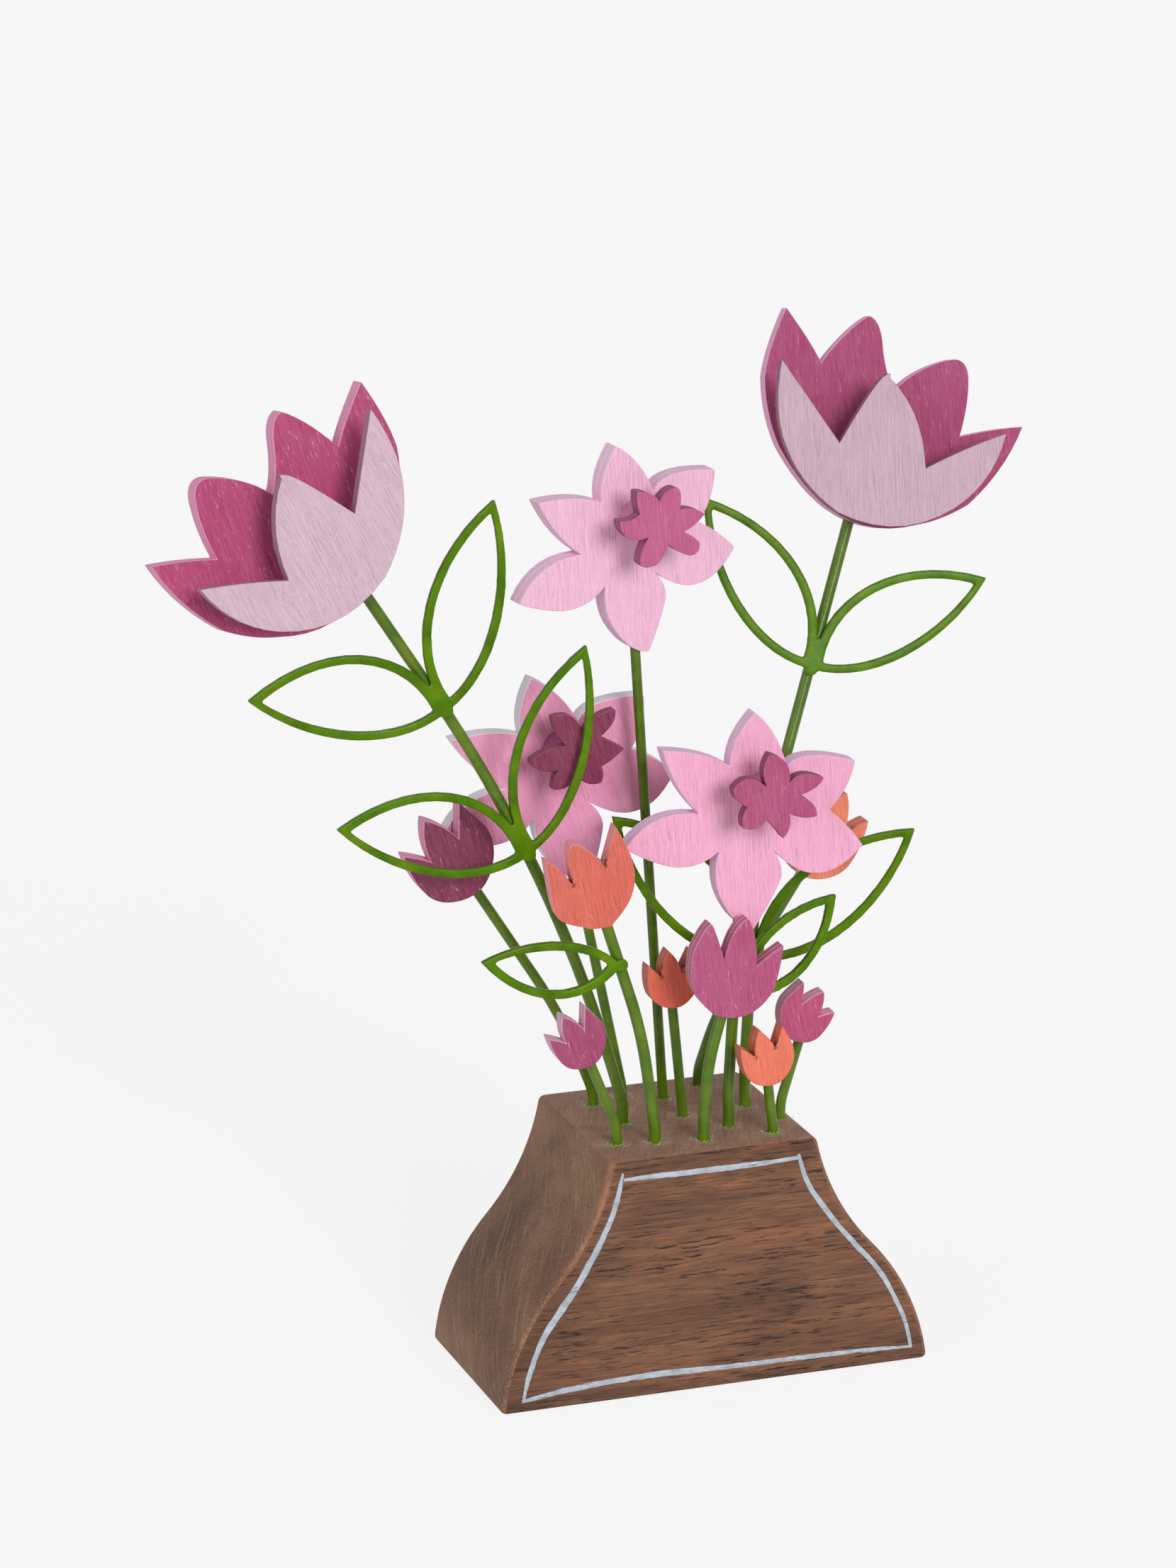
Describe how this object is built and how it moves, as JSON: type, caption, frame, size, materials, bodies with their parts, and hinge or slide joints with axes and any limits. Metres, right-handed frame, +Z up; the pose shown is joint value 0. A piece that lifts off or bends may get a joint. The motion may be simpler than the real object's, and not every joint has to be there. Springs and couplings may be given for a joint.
{
  "type": "wooden flower arrangement ornament",
  "caption": "Standing table ornament: flat painted wooden tulips and daffodils with leaf loops on bent green wires, set into a stained flared wooden block.",
  "frame": {"origin": "centre of the base block's underside", "axes": "+Z up, +X to the right and -Y towards the viewer of the flowers' faces"},
  "size_m": [0.2551, 0.0672, 0.2884],
  "materials": {
    "stained_block": "walnut stain, satin",
    "stem_green": "brushed-on green paint, satin",
    "magenta_board": "magenta stain, matt",
    "lilac_board": "pale lilac wash, matt",
    "pink_petals": "pink stain, matt",
    "rose_petals": "rose stain, matt",
    "magenta_star": "magenta stain, matt",
    "maroon_star": "maroon stain, matt",
    "purple_tulip": "deep purple stain, matt",
    "coral_tulip": "coral stain, matt",
    "rear_coral_tulip": "light coral stain, matt",
    "front_tulip": "magenta stain, matt",
    "small_red_tulip": "red stain, matt",
    "small_left_tulip": "magenta stain, matt",
    "small_coral_tulip": "coral stain, matt",
    "small_right_tulip": "magenta stain, matt",
    "dowel": "bare wood, matt",
    "leaf_green": "green stain, matt"
  },
  "bodies": {
    "root": {"base_block": "stained_block", "left_tulip_stem": "stem_green", "right_tulip_stem": "stem_green", "upper_daffodil_stem": "stem_green", "left_daffodil_stem": "stem_green", "lower_daffodil_stem": "stem_green", "purple_tulip_stem": "stem_green", "coral_tulip_stem": "stem_green", "rear_coral_tulip_stem": "stem_green", "front_magenta_tulip_stem": "stem_green", "small_red_tulip_stem": "stem_green", "small_left_tulip_stem": "stem_green", "small_coral_tulip_stem": "stem_green", "small_right_tulip_stem": "stem_green", "left_tulip_back": "magenta_board", "left_tulip_front": "lilac_board", "left_tulip_spacer": "dowel", "right_tulip_back": "magenta_board", "right_tulip_front": "lilac_board", "right_tulip_spacer": "dowel", "upper_daffodil_petals": "pink_petals", "upper_daffodil_star": "magenta_star", "upper_daffodil_spacer": "dowel", "left_daffodil_petals": "rose_petals", "left_daffodil_star": "maroon_star", "left_daffodil_spacer": "dowel", "lower_daffodil_petals": "pink_petals", "lower_daffodil_star": "magenta_star", "lower_daffodil_spacer": "dowel", "purple_tulip": "purple_tulip", "coral_tulip": "coral_tulip", "rear_coral_tulip": "rear_coral_tulip", "front_magenta_tulip": "front_tulip", "small_red_tulip": "small_red_tulip", "small_left_tulip": "small_left_tulip", "small_coral_tulip": "small_coral_tulip", "small_right_tulip": "small_right_tulip", "left_tulip_upper_leaves": "leaf_green", "left_tulip_lower_leaves": "leaf_green", "right_tulip_upper_leaves": "leaf_green", "right_tulip_lower_leaves": "leaf_green", "coral_tulip_leaf": "leaf_green", "lower_daffodil_leaf": "leaf_green"}
  },
  "joints": []
}
